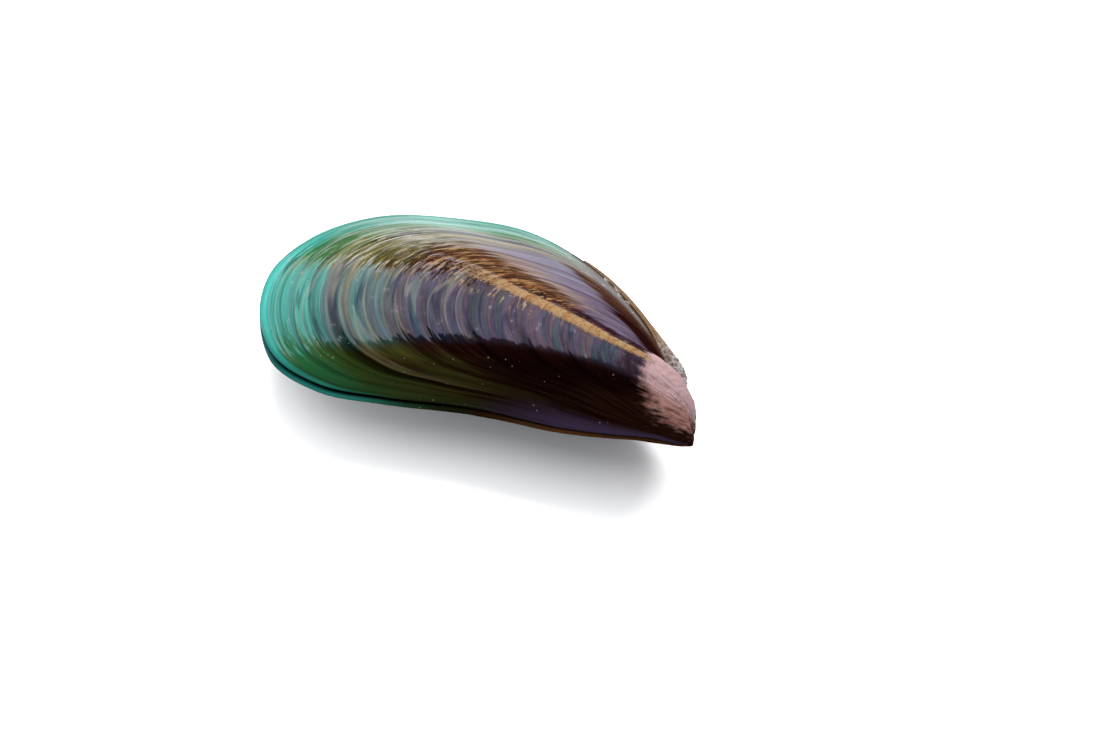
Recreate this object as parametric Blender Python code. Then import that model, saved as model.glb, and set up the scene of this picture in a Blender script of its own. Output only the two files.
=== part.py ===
"""A closed mussel shell: the right valve on top, the left valve under it, and the ligament along their hinge.

Metres, +Z up. The shell lies on its left valve, with the beak towards +X and the hinge side towards +Y.
"""

import math

import bmesh
import bpy
import numpy as np
from mathutils import Matrix

MM = 0.001

# The margin where the two valves meet, in millimetres from the beak: along the ventral side,
# round the broad hind end and back along the hinge side
MARGIN = (
    (0.7, -0.3),
    (-8.0, -1.5),
    (-24.0, -4.4),
    (-43.0, -6.2),
    (-60.0, -9.4),
    (-73.0, -10.7),
    (-83.5, -7.8),
    (-90.0, -0.2),
    (-91.4, 9.8),
    (-86.7, 19.8),
    (-76.0, 28.9),
    (-60.0, 34.0),
    (-45.0, 35.6),
    (-31.0, 32.0),
    (-17.0, 23.4),
    (-5.0, 9.5),
    (0.4, 1.8),
)
AROUND = 48
SAMPLES_BETWEEN_POINTS = 60
LEFT_LIP = 1.2
LEFT_LIP_REACH = 8.0

# How the valves grow: each growth line is the margin made smaller, swung towards the hinge and rolled up
ROLL_RATE = 2.0
AXIS_TILT = math.radians(-6)
SWING = math.radians(18)
SWING_FADE = (math.radians(-5), math.radians(45))
UMBO_LIFT = 2.0
UMBO_LIFT_POWER = 4
UMBO_LEAN = 1.5
UMBO_LEAN_BY = math.radians(100)
BEAK_ROUNDING = 2.0
MOST_ROLL = math.radians(87)
OUTER_RINGS = 24
OUTER_LAST = 0.03
RING_SPREAD = 1.6

# Growth arrests: the stages, as a share of the full size, where the surface steps down a little
ARRESTS = (0.93, 0.834, 0.71, 0.65, 0.56, 0.45, 0.36)
ARREST_STEP = 0.22
ARREST_WIDTH = 0.006
ARREST_CLEARANCE = 0.012
ARREST_CROWDING = 0.3

# The hollow inside each valve, and the lip round it
LIP_WIDTH = 1.15
HOLLOW_POLE = (-5.5, 3.0)
HOLLOW_RINGS = 12
HOLLOW_LAST = 0.12
HOLLOW_SPREAD = 1.3
HOLLOW_FLATTEN = 0.97

# The valves stay this far apart all round, and the right one gapes a little about the hinge line
VALVE_GAP = 0.3
GAPE = math.radians(1.0)
HINGE_FRONT = (0.5, 2.0)
HINGE_BACK = (-31.0, 33.0)

# The ligament, a cord along the outside of the hinge, swollen near its front end
LIGAMENT_FROM_X = -32.5
LIGAMENT_TO_X = -3.5
LIGAMENT_LEAST_Y = 3.0
LIGAMENT_OFFSET = 1.1
LIGAMENT_ROUTE_SAMPLES = 600
LIGAMENT_STATIONS = 24
LIGAMENT_SIDES = 10
LIGAMENT_WIDTH = 0.75
LIGAMENT_THIN_END = 0.3
LIGAMENT_HEIGHT = 0.8
LIGAMENT_SWELL = 0.9
LIGAMENT_SWELL_AT = 0.85
LIGAMENT_SWELL_LENGTH = 0.12

# How the shell rests: turned from lying level about Y and then X, cut flat where it touches, beak at this place
REST_PITCH = math.radians(-2.95)
REST_ROLL = math.radians(-1.26)
BEAK_AT = (44.93, -11.78, 17.3)

RIGHT_VALVE_COLOUR = (0.09, 0.16, 0.09)
LEFT_VALVE_COLOUR = (0.07, 0.10, 0.07)
VALVE_ROUGHNESS = 0.3
LIGAMENT_COLOUR = (0.10, 0.06, 0.03)
LIGAMENT_ROUGHNESS = 0.7


def smooth_step(value):
    """Value held between 0 and 1 and eased at both ends."""
    value = np.clip(value, 0.0, 1.0)
    return value * value * (3.0 - 2.0 * value)


def closed_outline(points, count):
    """The smooth closed outline through the points, as evenly spaced points."""
    points = np.array(points, float)
    after = np.roll(points, -1, axis=0)
    before = np.roll(points, 1, axis=0)
    ahead = np.linalg.norm(after - points, axis=1)[:, None]
    behind = np.linalg.norm(points - before, axis=1)[:, None]
    slope = ((after - points) / ahead * behind + (points - before) / behind * ahead) / (ahead + behind)
    t = np.linspace(0.0, 1.0, SAMPLES_BETWEEN_POINTS, endpoint=False)[None, :, None]
    start = points[:, None]
    end = after[:, None]
    leave = (slope * ahead)[:, None]
    arrive = (np.roll(slope, -1, axis=0) * ahead)[:, None]
    fine = (
        start * (1 + 2 * t) * (1 - t) ** 2
        + leave * t * (1 - t) ** 2
        + end * t**2 * (3 - 2 * t)
        - arrive * t**2 * (1 - t)
    ).reshape(-1, 2)
    return evenly_spaced(fine, count)


def evenly_spaced(outline, count):
    """A closed outline as this many points an equal way apart."""
    closed = np.vstack([outline, outline[:1]])
    travelled = np.concatenate([[0.0], np.cumsum(np.linalg.norm(np.diff(closed, axis=0), axis=1))])
    wanted = np.linspace(0.0, travelled[-1], count, endpoint=False)
    return np.stack([np.interp(wanted, travelled, closed[:, axis]) for axis in (0, 1)], axis=1)


def inset(outline, distance):
    """The outline, which runs clockwise seen from above, moved inwards."""
    along = np.roll(outline, -1, axis=0) - np.roll(outline, 1, axis=0)
    along /= np.linalg.norm(along, axis=1)[:, None]
    inwards = np.stack([along[:, 1], -along[:, 0]], axis=1)
    return outline + inwards * distance


def left_margin(margin):
    """The left valve's margin, whose ventral lip stands out a little past the right valve's."""
    lower = margin.copy()
    lower[:, 1] -= LEFT_LIP * np.clip(-margin[:, 1] / LEFT_LIP_REACH, 0.0, 1.0)
    return lower


def growth_line(margin, stage, pole=(0.0, 0.0), flatten=1.0, lift=UMBO_LIFT, lean=UMBO_LEAN):
    """The growth line at this stage of growth, from 1 at the margin towards 0 at the beak."""
    outline = margin - np.array(pole)
    bearing = np.arctan2(outline[:, 1], -outline[:, 0])
    fade = 1.0 - smooth_step((bearing - SWING_FADE[0]) / (SWING_FADE[1] - SWING_FADE[0]))
    swing = SWING * (1.0 - stage) * np.where(outline[:, 0] > 0.0, 0.0, fade)
    x = outline[:, 0] * np.cos(swing) + outline[:, 1] * np.sin(swing)
    y = outline[:, 1] * np.cos(swing) - outline[:, 0] * np.sin(swing)
    growth = np.array([-math.cos(AXIS_TILT), math.sin(AXIS_TILT)])
    axis = np.array([math.sin(AXIS_TILT), math.cos(AXIS_TILT)])
    reach = x * growth[0] + y * growth[1]
    aside = x * axis[0] + y * axis[1]
    rounded = (reach + np.sqrt(reach**2 + BEAK_ROUNDING**2)) / 2.0
    roll = -math.log(stage) / ROLL_RATE
    forward = lean * smooth_step(roll / UMBO_LEAN_BY)
    level = math.cos(min(roll, MOST_ROLL))
    flat = stage * (reach[:, None] * level * growth + aside[:, None] * axis) - forward * growth
    height = stage * rounded * math.sin(min(roll, math.pi / 2)) * flatten + lift * (1.0 - stage) ** UMBO_LIFT_POWER
    return np.column_stack([flat + np.array(pole), height])


def arrest_height(stage):
    """How far the surface stands out here: it swells towards each growth arrest and steps down past it."""
    older = max([arrest for arrest in ARRESTS if arrest < stage - ARREST_WIDTH / 2], default=0.0)
    newer = min([arrest for arrest in ARRESTS if arrest >= stage - ARREST_WIDTH / 2], default=1.0)
    share = (stage - older) / (newer - older)
    return ARREST_STEP * min(share, 1.0) * min(stage / ARRESTS[-1], 1.0)


def spread_stages(count, last, spread):
    """Stages of growth from 1 down to the last, closer together near the margin."""
    return [math.exp(math.log(last) * (ring / (count - 1)) ** spread) for ring in range(count)]


def outer_stages():
    """The stages of growth that the outer surface is lofted through, from the margin to the umbo."""
    even = spread_stages(OUTER_RINGS, OUTER_LAST, RING_SPREAD)
    kept = [stage for stage in even if all(abs(stage - arrest) > ARREST_CLEARANCE for arrest in ARRESTS)]
    steps = [arrest + side * ARREST_WIDTH for arrest in ARRESTS for side in (0, 1)]
    return sorted(kept + steps, reverse=True)


def outward(rings):
    """Unit directions out of the surface at each point of the rings."""
    around = np.roll(rings, -1, axis=1) - np.roll(rings, 1, axis=1)
    across = np.gradient(rings, axis=0)
    direction = np.cross(across, around)
    direction /= np.maximum(np.linalg.norm(direction, axis=2), 1e-9)[:, :, None]
    middle = rings[0].mean(axis=0)
    side = np.sign(((rings - middle) * direction).sum(axis=(1, 2)))
    return direction * side[:, None, None]


def growth_spacing(rings, stages):
    """How far apart the growth lines lie at each point, square to them, for each unit of growth."""
    around = np.roll(rings, -1, axis=1) - np.roll(rings, 1, axis=1)
    around /= np.linalg.norm(around, axis=2)[:, :, None]
    across = np.gradient(rings, np.array(stages), axis=0)
    return np.linalg.norm(np.cross(across, around), axis=2)


def valve_rings(margin):
    """The rings of a right valve, over the outer surface from the umbo to the lip and back inside the hollow."""
    stages = outer_stages()
    outer = np.array([growth_line(margin, stage) for stage in stages])
    raised = np.array([arrest_height(stage) for stage in stages])
    raised[0] = 0.0
    room = np.clip(growth_spacing(outer, stages) * ARREST_WIDTH / ARREST_STEP - ARREST_CROWDING, 0.0, 1.0)
    outer += outward(outer) * (raised[:, None] * room)[:, :, None]
    outer[:, :, 2] = np.maximum(outer[:, :, 2], 0.0)
    hollow_margin = inset(margin, LIP_WIDTH)
    hollow = [
        growth_line(hollow_margin, stage, HOLLOW_POLE, HOLLOW_FLATTEN, lift=0.0, lean=0.0)
        for stage in spread_stages(HOLLOW_RINGS, HOLLOW_LAST, HOLLOW_SPREAD)
    ]
    return list(outer[::-1]) + hollow


def lofted(name, rings):
    """A closed solid through the rings, each end closed on a point."""
    mesh = bmesh.new()
    loops = [[mesh.verts.new(point) for point in ring] for ring in rings]
    ends = [mesh.verts.new(np.mean(rings[end], axis=0)) for end in (0, -1)]
    count = len(loops[0])
    for near, far in zip(loops, loops[1:]):
        for i in range(count):
            mesh.faces.new((near[i], near[(i + 1) % count], far[(i + 1) % count], far[i]))
    for i in range(count):
        mesh.faces.new((ends[0], loops[0][(i + 1) % count], loops[0][i]))
        mesh.faces.new((ends[1], loops[-1][i], loops[-1][(i + 1) % count]))
    bmesh.ops.recalc_face_normals(mesh, faces=mesh.faces)
    return finished(name, mesh)


def finished(name, mesh):
    """An object that holds this mesh, shaded smooth."""
    data = bpy.data.meshes.new(name)
    mesh.to_mesh(data)
    mesh.free()
    data.shade_smooth()
    return bpy.data.objects.new(name, data)


def about_hinge(angle):
    """The turn about the hinge line."""
    front = Matrix.Translation((*HINGE_FRONT, 0.0))
    along = [back - fore for back, fore in zip(HINGE_BACK, HINGE_FRONT)]
    return front @ Matrix.Rotation(angle, 4, (*along, 0.0)) @ front.inverted()


def right_valve():
    """The upper valve, gaping a little about the hinge."""
    rings = [ring + (0.0, 0.0, VALVE_GAP / 2) for ring in valve_rings(closed_outline(MARGIN, AROUND))]
    valve = lofted("right_valve", rings)
    valve.data.transform(about_hinge(GAPE))
    return valve


def left_valve():
    """The lower valve, the mirror image of the upper one but for its ventral lip."""
    margin = left_margin(closed_outline(MARGIN, AROUND))
    rings = [ring * (1.0, 1.0, -1.0) - (0.0, 0.0, VALVE_GAP / 2) for ring in valve_rings(margin)]
    return lofted("left_valve", rings)


def hinge_route():
    """The ligament's route beside the hinge margin, from its back end to its front end."""
    outline = closed_outline(MARGIN, LIGAMENT_ROUTE_SAMPLES)
    beside = inset(outline, -LIGAMENT_OFFSET)
    along_hinge = (outline[:, 0] > LIGAMENT_FROM_X) & (outline[:, 0] < LIGAMENT_TO_X)
    stretch = beside[along_hinge & (outline[:, 1] > LIGAMENT_LEAST_Y)]
    picked = np.linspace(0, len(stretch) - 1, LIGAMENT_STATIONS)
    places = np.arange(len(stretch))
    return np.stack([np.interp(picked, places, stretch[:, axis]) for axis in (0, 1)], axis=1)


def ligament():
    """The cord of the ligament, tapered at both ends."""
    route = hinge_route()
    along = np.gradient(route, axis=0)
    along /= np.linalg.norm(along, axis=1)[:, None]
    rings = []
    for station, (centre, ahead) in enumerate(zip(route, along)):
        share = station / (LIGAMENT_STATIONS - 1)
        taper = LIGAMENT_THIN_END + (1.0 - LIGAMENT_THIN_END) * math.sqrt(math.sin(math.pi * share))
        swell = 1.0 + LIGAMENT_SWELL * math.exp(-(((share - LIGAMENT_SWELL_AT) / LIGAMENT_SWELL_LENGTH) ** 2))
        size = taper * swell
        outwards = np.array([-ahead[1], ahead[0]]) * size
        middle = centre + outwards * LIGAMENT_WIDTH * (1.0 - 1.0 / size)
        angles = [2 * math.pi * side / LIGAMENT_SIDES for side in range(LIGAMENT_SIDES)]
        rings.append(
            [
                (*(middle + outwards * math.cos(angle) * LIGAMENT_WIDTH), math.sin(angle) * LIGAMENT_HEIGHT * size)
                for angle in angles
            ]
        )
    return lofted("ligament", rings)


def at_rest(part):
    """The part turned and moved to where the shell lies at rest, in metres."""
    turn = Matrix.Rotation(REST_ROLL, 4, "X") @ Matrix.Rotation(REST_PITCH, 4, "Y")
    part.data.transform(Matrix.Scale(MM, 4) @ Matrix.Translation(BEAK_AT) @ turn)


def cut_flat(part):
    """The part cut off level with the ground, where the shell lies on it."""
    mesh = bmesh.new()
    mesh.from_mesh(part.data)
    everything = mesh.verts[:] + mesh.edges[:] + mesh.faces[:]
    cut = bmesh.ops.bisect_plane(
        mesh, geom=everything, plane_co=(0, 0, 0), plane_no=(0, 0, -1), clear_outer=True, dist=1e-6
    )
    edges = [piece for piece in cut["geom_cut"] if isinstance(piece, bmesh.types.BMEdge)]
    bmesh.ops.holes_fill(mesh, edges=edges, sides=0)
    mesh.to_mesh(part.data)
    mesh.free()


def finish(name, colour, roughness):
    """A material of this colour."""
    material = bpy.data.materials.new(name)
    material.use_nodes = True
    surface = material.node_tree.nodes["Principled BSDF"]
    surface.inputs["Base Color"].default_value = (*colour, 1.0)
    surface.inputs["Roughness"].default_value = roughness
    surface.inputs["Metallic"].default_value = 0.0
    return material


def main():
    for old in list(bpy.data.objects):
        bpy.data.objects.remove(old)
    collection = bpy.data.collections.new("mussel_shell")
    bpy.context.scene.collection.children.link(collection)
    pieces = (
        (right_valve(), finish("right_valve_shell", RIGHT_VALVE_COLOUR, VALVE_ROUGHNESS)),
        (left_valve(), finish("left_valve_shell", LEFT_VALVE_COLOUR, VALVE_ROUGHNESS)),
        (ligament(), finish("ligament_brown", LIGAMENT_COLOUR, LIGAMENT_ROUGHNESS)),
    )
    for part, material in pieces:
        collection.objects.link(part)
        part.data.materials.append(material)
        at_rest(part)
    cut_flat(pieces[1][0])


main()
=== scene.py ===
"""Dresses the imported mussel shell: two glossy valves with growth lines, their ligament, and a pale studio."""

import math
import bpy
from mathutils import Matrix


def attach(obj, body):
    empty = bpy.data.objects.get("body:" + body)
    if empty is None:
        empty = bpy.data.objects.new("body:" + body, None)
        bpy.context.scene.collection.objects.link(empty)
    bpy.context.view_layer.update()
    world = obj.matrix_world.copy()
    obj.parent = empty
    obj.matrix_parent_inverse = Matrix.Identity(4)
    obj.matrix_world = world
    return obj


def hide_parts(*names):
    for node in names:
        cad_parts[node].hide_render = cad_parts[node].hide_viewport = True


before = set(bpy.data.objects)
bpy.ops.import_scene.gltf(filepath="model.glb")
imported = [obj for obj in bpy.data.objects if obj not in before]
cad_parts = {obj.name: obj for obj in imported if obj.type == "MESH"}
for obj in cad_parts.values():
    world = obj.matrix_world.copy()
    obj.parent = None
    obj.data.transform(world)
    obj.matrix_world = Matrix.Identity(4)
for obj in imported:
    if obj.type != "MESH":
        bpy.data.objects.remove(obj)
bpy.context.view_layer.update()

from types import SimpleNamespace

import bmesh
import bpy
import numpy as np
from mathutils import Matrix, Quaternion, Vector

bl_info = {
    "name": "Mussel shell",
    "version": (1, 0, 0),
    "blender": (4, 5, 0),
    "location": "View3D > Sidebar > Mussel",
    "description": "Builds a closed mussel shell with growth lines, worn keel and eroded umbo",
    "category": "Add Mesh",
}

MM = 0.001

# The shell's form in millimetres from the beak. It is the form of the solids, with the ventral margin up to
# 0.9 mm further out, the beak end a little shorter and the valves nearly shut
MARGIN = (
    (-0.1, 0.0),
    (-8.0, -2.1),
    (-24.0, -5.3),
    (-43.0, -6.8),
    (-60.0, -10.0),
    (-73.0, -11.4),
    (-83.7, -8.3),
    (-90.0, -0.2),
    (-91.4, 9.8),
    (-86.7, 19.8),
    (-76.0, 28.9),
    (-60.0, 34.0),
    (-45.0, 35.6),
    (-31.0, 32.0),
    (-17.0, 23.4),
    (-5.0, 9.5),
    (-0.3, 2.1),
)
LEFT_LIP = 1.25
LEFT_LIP_REACH = 8.0
ROLL_RATE = 2.0
AXIS_TILT = math.radians(-6)
SWING = math.radians(18)
SWING_FADE = (math.radians(-5), math.radians(45))
UMBO_LIFT = 2.0
UMBO_LEAN = 1.5
UMBO_LEAN_BY = math.radians(100)
BEAK_ROUNDING = 2.0
MOST_ROLL = math.radians(87)
OUTER_LAST = 0.03
ARRESTS = (0.36, 0.45, 0.56, 0.65, 0.71, 0.834, 0.93)
ARREST_SHARES = (0.5, 0.6, 0.7, 0.5, 0.6, 1.0, 0.4)
LIP_WIDTH = 1.15
HOLLOW_POLE = (-5.5, 3.0)
HOLLOW_LAST = 0.12
HOLLOW_FLATTEN = 0.97
VALVE_GAP = 0.3
GAPE = math.radians(0.3)
HINGE_FRONT = (0.5, 2.0)
HINGE_BACK = (-31.0, 33.0)
LIGAMENT_FROM_X = -32.5
LIGAMENT_TO_X = -3.5
LIGAMENT_OFFSET = 0.95
LIGAMENT_WIDTH = 0.75
LIGAMENT_THIN_END = 0.25
LIGAMENT_WEB = 1.6
LIGAMENT_HEIGHT = 0.8
LIGAMENT_SWELL = 0.9
LIGAMENT_SWELL_AT = 0.85
LIGAMENT_SWELL_LENGTH = 0.12
LIGAMENT_FROM_Y = 3.0
LIGAMENT_ROUTE_POINTS = 900
LIGAMENT_STATIONS = 170
LIGAMENT_SIDES = 40
LIGAMENT_SLENDER = 0.45
LIGAMENT_ROUGH_FROM = 0.55
REST_PITCH = math.radians(-2.95)
REST_ROLL = math.radians(-1.26)
BEAK_AT = (44.93, -11.78, 17.3)

# How finely the valves are made, and how their rows crowd and their edges are rounded
OUTLINE_STEPS = 60
AROUND = 248
OUTER_ROWS = 340
LIP_ROWS = 6
HOLLOW_ROWS = 40
LIP_DEPTH = 0.18
LIP_ROUNDING = 0.02
EDGE_CALM = 0.012
OUTER_CROWDING = 1.12
HOLLOW_CROWDING = 1.3
FULL_SPACING = 55.0
WELD = 1e-7
NACRE_FROM_ROW = OUTER_ROWS + LIP_ROWS + 6

# Relief in layers: cells round and along the piece, step of the seed, and share of the height
LUMPS = ((12, 9, 5, 1.0), (30, 24, 6, 0.3), (36, 62, 11, 0.2))
KEEL_WRINKLES = ((300, 150, 7, 1.0), (160, 240, 8, 0.6))
FINE_PITS = ((110, 240, 10, 0.5), (90, 18, 12, 0.7))
LIGAMENT_GRAINS = ((16, 110, 71, 1.0), (34, 170, 72, 0.4))

# Fine ridges: how many, step of the seed, and share of the height
RIDGES = ((46, 3, 1.0), (120, 4, 0.45))

# The worn keel: where it lies round the margin at each stage of growth, and how wide and high it is
KEEL_STAGES = (0.18, 0.21, 0.25, 0.30, 0.37, 0.44, 0.50, 0.56, 0.62, 0.80)
KEEL_PLACES = (0.518, 0.497, 0.482, 0.475, 0.480, 0.488, 0.496, 0.509, 0.517, 0.522)
KEEL_HALF_WIDTH = 0.017
KEEL_CREST = 0.5
KEEL_CREST_WIDTH = 0.0145

# How the umbo, the beak and the left flank leave the growth law, in millimetres, and up to which stage
UMBO_FULLER = 1.6
UMBO_LEANER = 0.8
BEAK_TRIM = (-1.3, 0.5)
BEAK_TRIM_TO = 0.11
BEAK_REACH = 0.65
BEAK_REACH_AT = 2.4
BEAK_CURVE = 0.07
BEAK_SOFTNESS = 0.15
LEFT_SLIMMER = 1.7

# The bare umbo, in metres
UMBO_CENTRE = (0.0437, -0.0040, 0.0284)
UMBO_RADIUS = 0.0101
UMBO_BLEND = 0.0034
BEAK_LEVEL = 0.0173

# Streaks drawn out along the growth lines: cells round and along the valve, step of the seed, and detail
STREAKS = {
    "broad": (9.0, 26.0, 0.0, 3.0),
    "band": (5.0, 46.0, 0.2, 2.0),
    "streak": (12.0, 120.0, 0.3, 4.0),
    "hair": (16.0, 430.0, 0.6, 2.0),
    "twist": (34.0, 210.0, 0.9, 2.0),
    "fleck": (48.0, 170.0, 1.5, 3.0),
    "radial": (46.0, 9.0, 1.2, 3.0),
}

# Where the turquoise lip starts, as the stage of growth at places round the margin
LIP_PLACES = (0.00, 0.20, 0.30, 0.38, 0.43, 0.49, 0.54, 0.60, 0.69, 0.77, 0.90)
LIP_STAGES = (1.00, 1.02, 1.000, 0.988, 0.980, 0.970, 0.958, 0.920, 0.925, 0.930, 1.00)

# How far round the bloom on the flank reaches, at stages of growth
BLOOM_STAGES = (0.40, 0.52, 0.60, 0.90)
BLOOM_EDGES = (0.525, 0.500, 0.485, 0.475)

# How deep the pigment is and how strongly the skin mirrors, at places round the margin
SHADE_PLACES = (0.0, 0.34, 0.42, 0.50, 0.60, 1.0)
SHADE_LEVELS = (0.65, 0.55, 0.9, 1.0, 1.0, 0.8)
# Painted shade: the whole left valve's colour is darkened, standing for the shade it lies in under the right
# valve
LEFT_PAINTED_SHADE = 0.7
GLOSS_PLACES = (0.0, 0.350, 0.372, 0.50, 0.62, 0.95)
GLOSS_LEVELS = (0.0, 0.0, 0.42, 0.42, 0.50, 0.4)
SKIN_IOR = 1.47

# Smaller colours, and the tints of what the skin mirrors
WHITE = (1.0, 1.0, 1.0)
PALE_SPECK = (0.17, 0.15, 0.11)
DARK_SPECK = (0.006, 0.005, 0.004)
NACRE_CLOUD = (0.42, 0.55, 0.62)
LIGAMENT_FRONT = (0.064, 0.037, 0.028)
ROOM_COLOUR = (0.96, 0.98, 1.0, 1.0)
SHEEN = (
    (0.30, (0.45, 0.80, 0.85)),
    (0.42, (0.50, 0.62, 1.0)),
    (0.50, (0.80, 0.66, 1.0)),
    (0.60, (0.95, 0.72, 0.86)),
    (0.72, (1.0, 0.88, 0.84)),
)

# The studio: where each soft light lies from the shell, which way its width runs, and its sizes in metres
WINDOW_TOWARDS = (-0.615, 0.26, 0.76)
WINDOW_ALONG = (0.76, -0.17, 0.63)
WINDOW_DISTANCE = 0.7
WINDOW_SIZE = (1.42, 0.84)
BACK_TOWARDS = (0.0, 0.5, 0.6)
BACK_ALONG = (1.0, 0.0, 0.0)
BACK_DISTANCE = 0.42
BACK_SIZE = (0.5, 0.2)
FLOOR_HALF_WIDTH = 4.0

# The camera, as the photograph looks at the shell
LENS = 85.0
CAMERA_AT = (0.06235, -0.23460, 0.47500)
AIM_AT = (0.01403, -0.00562, 0.01730)
CAMERA_TILT = math.radians(6.98)


def length_property(name, description, default):
    """A small length that a user can change."""
    return bpy.props.FloatProperty(
        name=name, description=description, default=default, unit="LENGTH", precision=5
    )


class ShellSizes(bpy.types.PropertyGroup):
    """Sizes of the relief on the valves."""

    arrest_step: length_property("Growth arrest step", "Step down past each strong growth line", 0.00016)
    ridge_height: length_property("Growth ridge height", "Ridges between the strong growth lines", 0.00007)
    lump_height: length_property("Lump height", "Broad unevenness of the surface", 0.00016)
    keel_wrinkle: length_property("Keel wrinkle height", "Wrinkles across the worn keel", 0.00008)
    umbo_pit: length_property("Umbo pit depth", "Pits in the eroded umbo", 0.00016)
    ligament_grain: length_property("Ligament grain height", "Grains on the ligament's front end", 0.00030)


def colour_property(name, description, default):
    """A colour that a user can change."""
    return bpy.props.FloatVectorProperty(
        name=name, description=description, default=default, subtype="COLOR", size=3, min=0.0, max=1.0
    )


class ShellColours(bpy.types.PropertyGroup):
    """Pigments of the shell, from the lip to the beak."""

    lip: colour_property("Lip", "Turquoise edge of the valves", (0.012, 0.115, 0.098))
    mint: colour_property("Mint", "Paler hinge side of the lip", (0.030, 0.085, 0.068))
    emerald: colour_property("Emerald", "Green next to the lip", (0.010, 0.052, 0.018))
    leaf: colour_property("Leaf green", "Green of the broad end", (0.018, 0.033, 0.007))
    olive: colour_property("Olive", "Olive bands", (0.028, 0.029, 0.006))
    chocolate: colour_property("Chocolate", "Brown bands", (0.016, 0.0062, 0.0030))
    maroon: colour_property("Maroon", "Near-black front half", (0.0060, 0.0013, 0.0011))
    orange: colour_property("Orange brown", "Streaks along the ridge", (0.080, 0.032, 0.010))
    gold: colour_property("Gold", "Worn keel", (0.122, 0.077, 0.035))
    bare: colour_property("Bare shell", "Eroded umbo", (0.155, 0.100, 0.102))
    cream: colour_property("Cream", "Flecks and thin lines of the broad end", (0.130, 0.122, 0.085))
    # Rose is partly the umbo's own reddish tone and partly painted light: it is lighter than the bare shell,
    # standing for light thrown up onto the umbo's front from below
    rose_with_painted_light: colour_property("Rose", "Front of the eroded umbo", (0.270, 0.145, 0.125))
    beige: colour_property("Beige", "Pale band past the strongest growth line", (0.070, 0.058, 0.026))
    rust: colour_property("Rust", "Brown streaks in the eroded umbo", (0.090, 0.035, 0.030))
    mauve: colour_property("Mauve", "Upper flank and hinge side near the beak", (0.012, 0.0065, 0.0105))
    slate: colour_property("Slate", "Upper flank at half growth", (0.0035, 0.0060, 0.0125))
    sea: colour_property("Sea green", "Upper flank near the lip", (0.0035, 0.034, 0.028))
    lagoon: colour_property("Lagoon", "Upper flank next to the lip", (0.012, 0.095, 0.078))
    lilac: colour_property("Lilac", "Hinge side at half growth", (0.043, 0.032, 0.048))
    haze: colour_property("Haze", "Hinge side past half growth, towards the hinge", (0.068, 0.063, 0.083))
    tan: colour_property("Tan", "Hinge side past half growth", (0.085, 0.062, 0.054))
    sage: colour_property("Sage", "Hinge side near the lip", (0.066, 0.064, 0.056))
    bark: colour_property("Bark", "Dark hinge edge", (0.014, 0.0060, 0.0054))
    # Plum is partly the front lip's own purple and partly a painted sheen: its bluish tint stands for the pale
    # surroundings mirrored in the lip
    plum_and_painted_sheen: colour_property("Plum", "Front lip of the valves", (0.034, 0.022, 0.046))
    nacre: colour_property("Nacre", "Inside of the valves", (0.55, 0.60, 0.60))
    horn: colour_property("Horn", "Ligament", (0.080, 0.042, 0.016))
    grit: colour_property("Grit", "Grains on the ligament", (0.122, 0.115, 0.116))


class StudioSettings(bpy.types.PropertyGroup):
    """The pale floor and its soft light."""

    key_power: bpy.props.FloatProperty(
        name="Window light",
        description="Power of the large soft light",
        default=13.0,
        unit="POWER",
    )
    back_power: bpy.props.FloatProperty(
        name="Back light",
        description="Power of the light on the floor behind the shell",
        default=6.0,
        unit="POWER",
    )
    room: bpy.props.FloatProperty(name="Room light", description="Strength of the even light", default=1.0)
    floor: colour_property("Floor", "Pale floor", (0.60, 0.60, 0.605))


def smooth_step(value):
    """Value held between 0 and 1 and eased at both ends."""
    value = np.clip(value, 0.0, 1.0)
    return value * value * (3.0 - 2.0 * value)


def closed_outline(points, count):
    """The smooth closed outline through the points, as evenly spaced points."""
    points = np.array(points, float)
    after = np.roll(points, -1, axis=0)
    before = np.roll(points, 1, axis=0)
    ahead = np.linalg.norm(after - points, axis=1)[:, None]
    behind = np.linalg.norm(points - before, axis=1)[:, None]
    slope = ((after - points) / ahead * behind + (points - before) / behind * ahead) / (ahead + behind)
    t = np.linspace(0.0, 1.0, OUTLINE_STEPS, endpoint=False)[None, :, None]
    start = points[:, None]
    end = after[:, None]
    leave = (slope * ahead)[:, None]
    arrive = (np.roll(slope, -1, axis=0) * ahead)[:, None]
    fine = (
        start * (1 + 2 * t) * (1 - t) ** 2
        + leave * t * (1 - t) ** 2
        + end * t**2 * (3 - 2 * t)
        - arrive * t**2 * (1 - t)
    ).reshape(-1, 2)
    closed = np.vstack([fine, fine[:1]])
    travelled = np.concatenate([[0.0], np.cumsum(np.linalg.norm(np.diff(closed, axis=0), axis=1))])
    wanted = np.linspace(0.0, travelled[-1], count, endpoint=False)
    return np.stack([np.interp(wanted, travelled, closed[:, axis]) for axis in (0, 1)], axis=1)


def inset(outline, distance):
    """The outline, which runs clockwise seen from above, moved inwards."""
    along = np.roll(outline, -1, axis=0) - np.roll(outline, 1, axis=0)
    along /= np.linalg.norm(along, axis=1)[:, None]
    inwards = np.stack([along[:, 1], -along[:, 0]], axis=1)
    return outline + inwards * distance


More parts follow.
